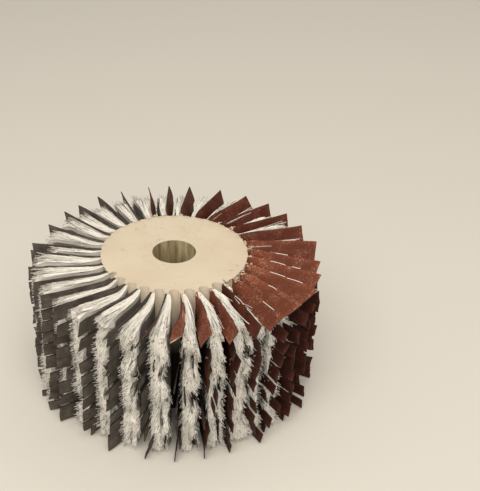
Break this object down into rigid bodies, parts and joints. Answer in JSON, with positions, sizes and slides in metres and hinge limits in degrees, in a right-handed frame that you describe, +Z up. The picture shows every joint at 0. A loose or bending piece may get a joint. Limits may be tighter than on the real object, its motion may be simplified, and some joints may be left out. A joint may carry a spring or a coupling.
{
  "type": "abrasive cloth brush",
  "caption": "Cylindrical sanding brush: a bored, fluted resin hub with radial rows of slit abrasive cloth, each backed by crimped fibre.",
  "frame": {"origin": "centre of the bore at the hub's lower end face, on the surface that the brush stands on", "axes": "+Z up along the bore; the rows count anticlockwise about +Z from +X; the rows of the +X side are laid over the most"},
  "size_m": [0.1988, 0.1995, 0.1],
  "materials": {
    "cast_resin": "satin cast resin, cream",
    "abrasive_cloth": "grit coated cloth, red-brown face and warm grey back",
    "crimped_fibre": "crimped off-white fibre"
  },
  "bodies": {
    "root": {"hub": "cast_resin", "abrasive_strip_01": "abrasive_cloth", "abrasive_strip_02": "abrasive_cloth", "abrasive_strip_03": "abrasive_cloth", "abrasive_strip_04": "abrasive_cloth", "abrasive_strip_05": "abrasive_cloth", "abrasive_strip_06": "abrasive_cloth", "abrasive_strip_07": "abrasive_cloth", "abrasive_strip_08": "abrasive_cloth", "abrasive_strip_09": "abrasive_cloth", "abrasive_strip_10": "abrasive_cloth", "abrasive_strip_11": "abrasive_cloth", "abrasive_strip_12": "abrasive_cloth", "abrasive_strip_13": "abrasive_cloth", "abrasive_strip_14": "abrasive_cloth", "abrasive_strip_15": "abrasive_cloth", "abrasive_strip_16": "abrasive_cloth", "abrasive_strip_17": "abrasive_cloth", "abrasive_strip_18": "abrasive_cloth", "abrasive_strip_19": "abrasive_cloth", "abrasive_strip_20": "abrasive_cloth", "abrasive_strip_21": "abrasive_cloth", "abrasive_strip_22": "abrasive_cloth", "abrasive_strip_23": "abrasive_cloth", "abrasive_strip_24": "abrasive_cloth", "abrasive_strip_25": "abrasive_cloth", "abrasive_strip_26": "abrasive_cloth", "abrasive_strip_27": "abrasive_cloth", "abrasive_strip_28": "abrasive_cloth", "abrasive_strip_29": "abrasive_cloth", "abrasive_strip_30": "abrasive_cloth", "abrasive_strip_31": "abrasive_cloth", "abrasive_strip_32": "abrasive_cloth", "fibre_packs_01_02": "crimped_fibre", "fibre_packs_03_04": "crimped_fibre", "fibre_packs_05_06": "crimped_fibre", "fibre_packs_07_08": "crimped_fibre", "fibre_packs_09_10": "crimped_fibre", "fibre_packs_11_12": "crimped_fibre", "fibre_packs_13_14": "crimped_fibre", "fibre_packs_15_16": "crimped_fibre", "fibre_packs_17_18": "crimped_fibre", "fibre_packs_19_20": "crimped_fibre", "fibre_packs_21_22": "crimped_fibre", "fibre_packs_23_24": "crimped_fibre", "fibre_packs_25_26": "crimped_fibre", "fibre_packs_27_28": "crimped_fibre", "fibre_packs_29_30": "crimped_fibre", "fibre_packs_31_32": "crimped_fibre"}
  },
  "joints": []
}
